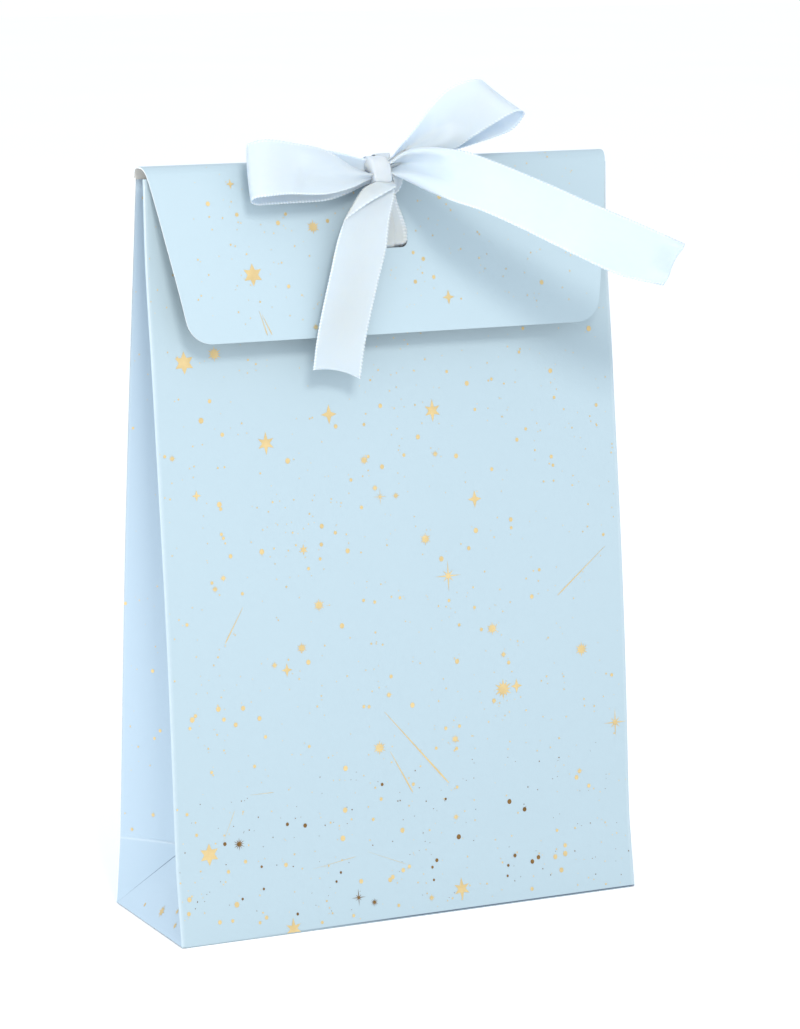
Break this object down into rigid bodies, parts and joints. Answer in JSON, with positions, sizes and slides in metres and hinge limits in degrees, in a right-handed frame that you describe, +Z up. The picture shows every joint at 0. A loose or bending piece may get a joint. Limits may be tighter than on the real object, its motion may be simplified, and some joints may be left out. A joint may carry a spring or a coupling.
{
  "type": "gift bag",
  "caption": "Block-bottom card gift bag with pleated sides, a fold-over closing flap and a tied satin ribbon bow, in star-printed pale blue.",
  "frame": {"origin": "centre of the base, on the surface that the bag stands on", "axes": "+Z up, +X along the front panel to the viewer's right, +Y from the front panel to the back panel"},
  "size_m": [0.15, 0.084, 0.2494],
  "materials": {
    "printed_card": "matte card with foil stars",
    "flap_card": "matte card with foil stars",
    "card_inside": "uncoated white board",
    "satin_ribbon": "satin weave"
  },
  "bodies": {
    "bag": {"back_panel": "printed_card", "left_gusset_rear": "printed_card", "right_gusset_rear": "printed_card", "left_base_triangle": "printed_card", "right_base_triangle": "printed_card", "base_front_flap": "printed_card", "base_rear_flap": "card_inside", "base_left_tuck": "card_inside", "base_right_tuck": "card_inside", "seam_tab": "card_inside", "ribbon_back_strand": "satin_ribbon"},
    "front": {"front_panel": "printed_card", "left_gusset_front": "printed_card", "right_gusset_front": "printed_card"},
    "flap": {"closing_flap": "flap_card", "ribbon_over_top": "satin_ribbon", "ribbon_front_lead": "satin_ribbon", "ribbon_knot": "satin_ribbon", "ribbon_left_loop": "satin_ribbon", "ribbon_right_loop": "satin_ribbon", "ribbon_short_tail": "satin_ribbon", "ribbon_long_tail": "satin_ribbon"}
  },
  "joints": [
    {"name": "flap_fold", "type": "hinge", "parent": "bag", "child": "flap", "pos_m": [0, 0, 0.2238], "axis": [-1, 0, 0], "range_deg": [0, 180]},
    {"name": "mouth_open", "type": "hinge", "parent": "bag", "child": "front", "pos_m": [0, -0.0265, 0], "axis": [1, 0, 0], "range_deg": [0, 5.5]}
  ],
  "couplings": [
    {"joint": "mouth_open", "follows": "flap_fold", "ratio": 0.03}
  ]
}
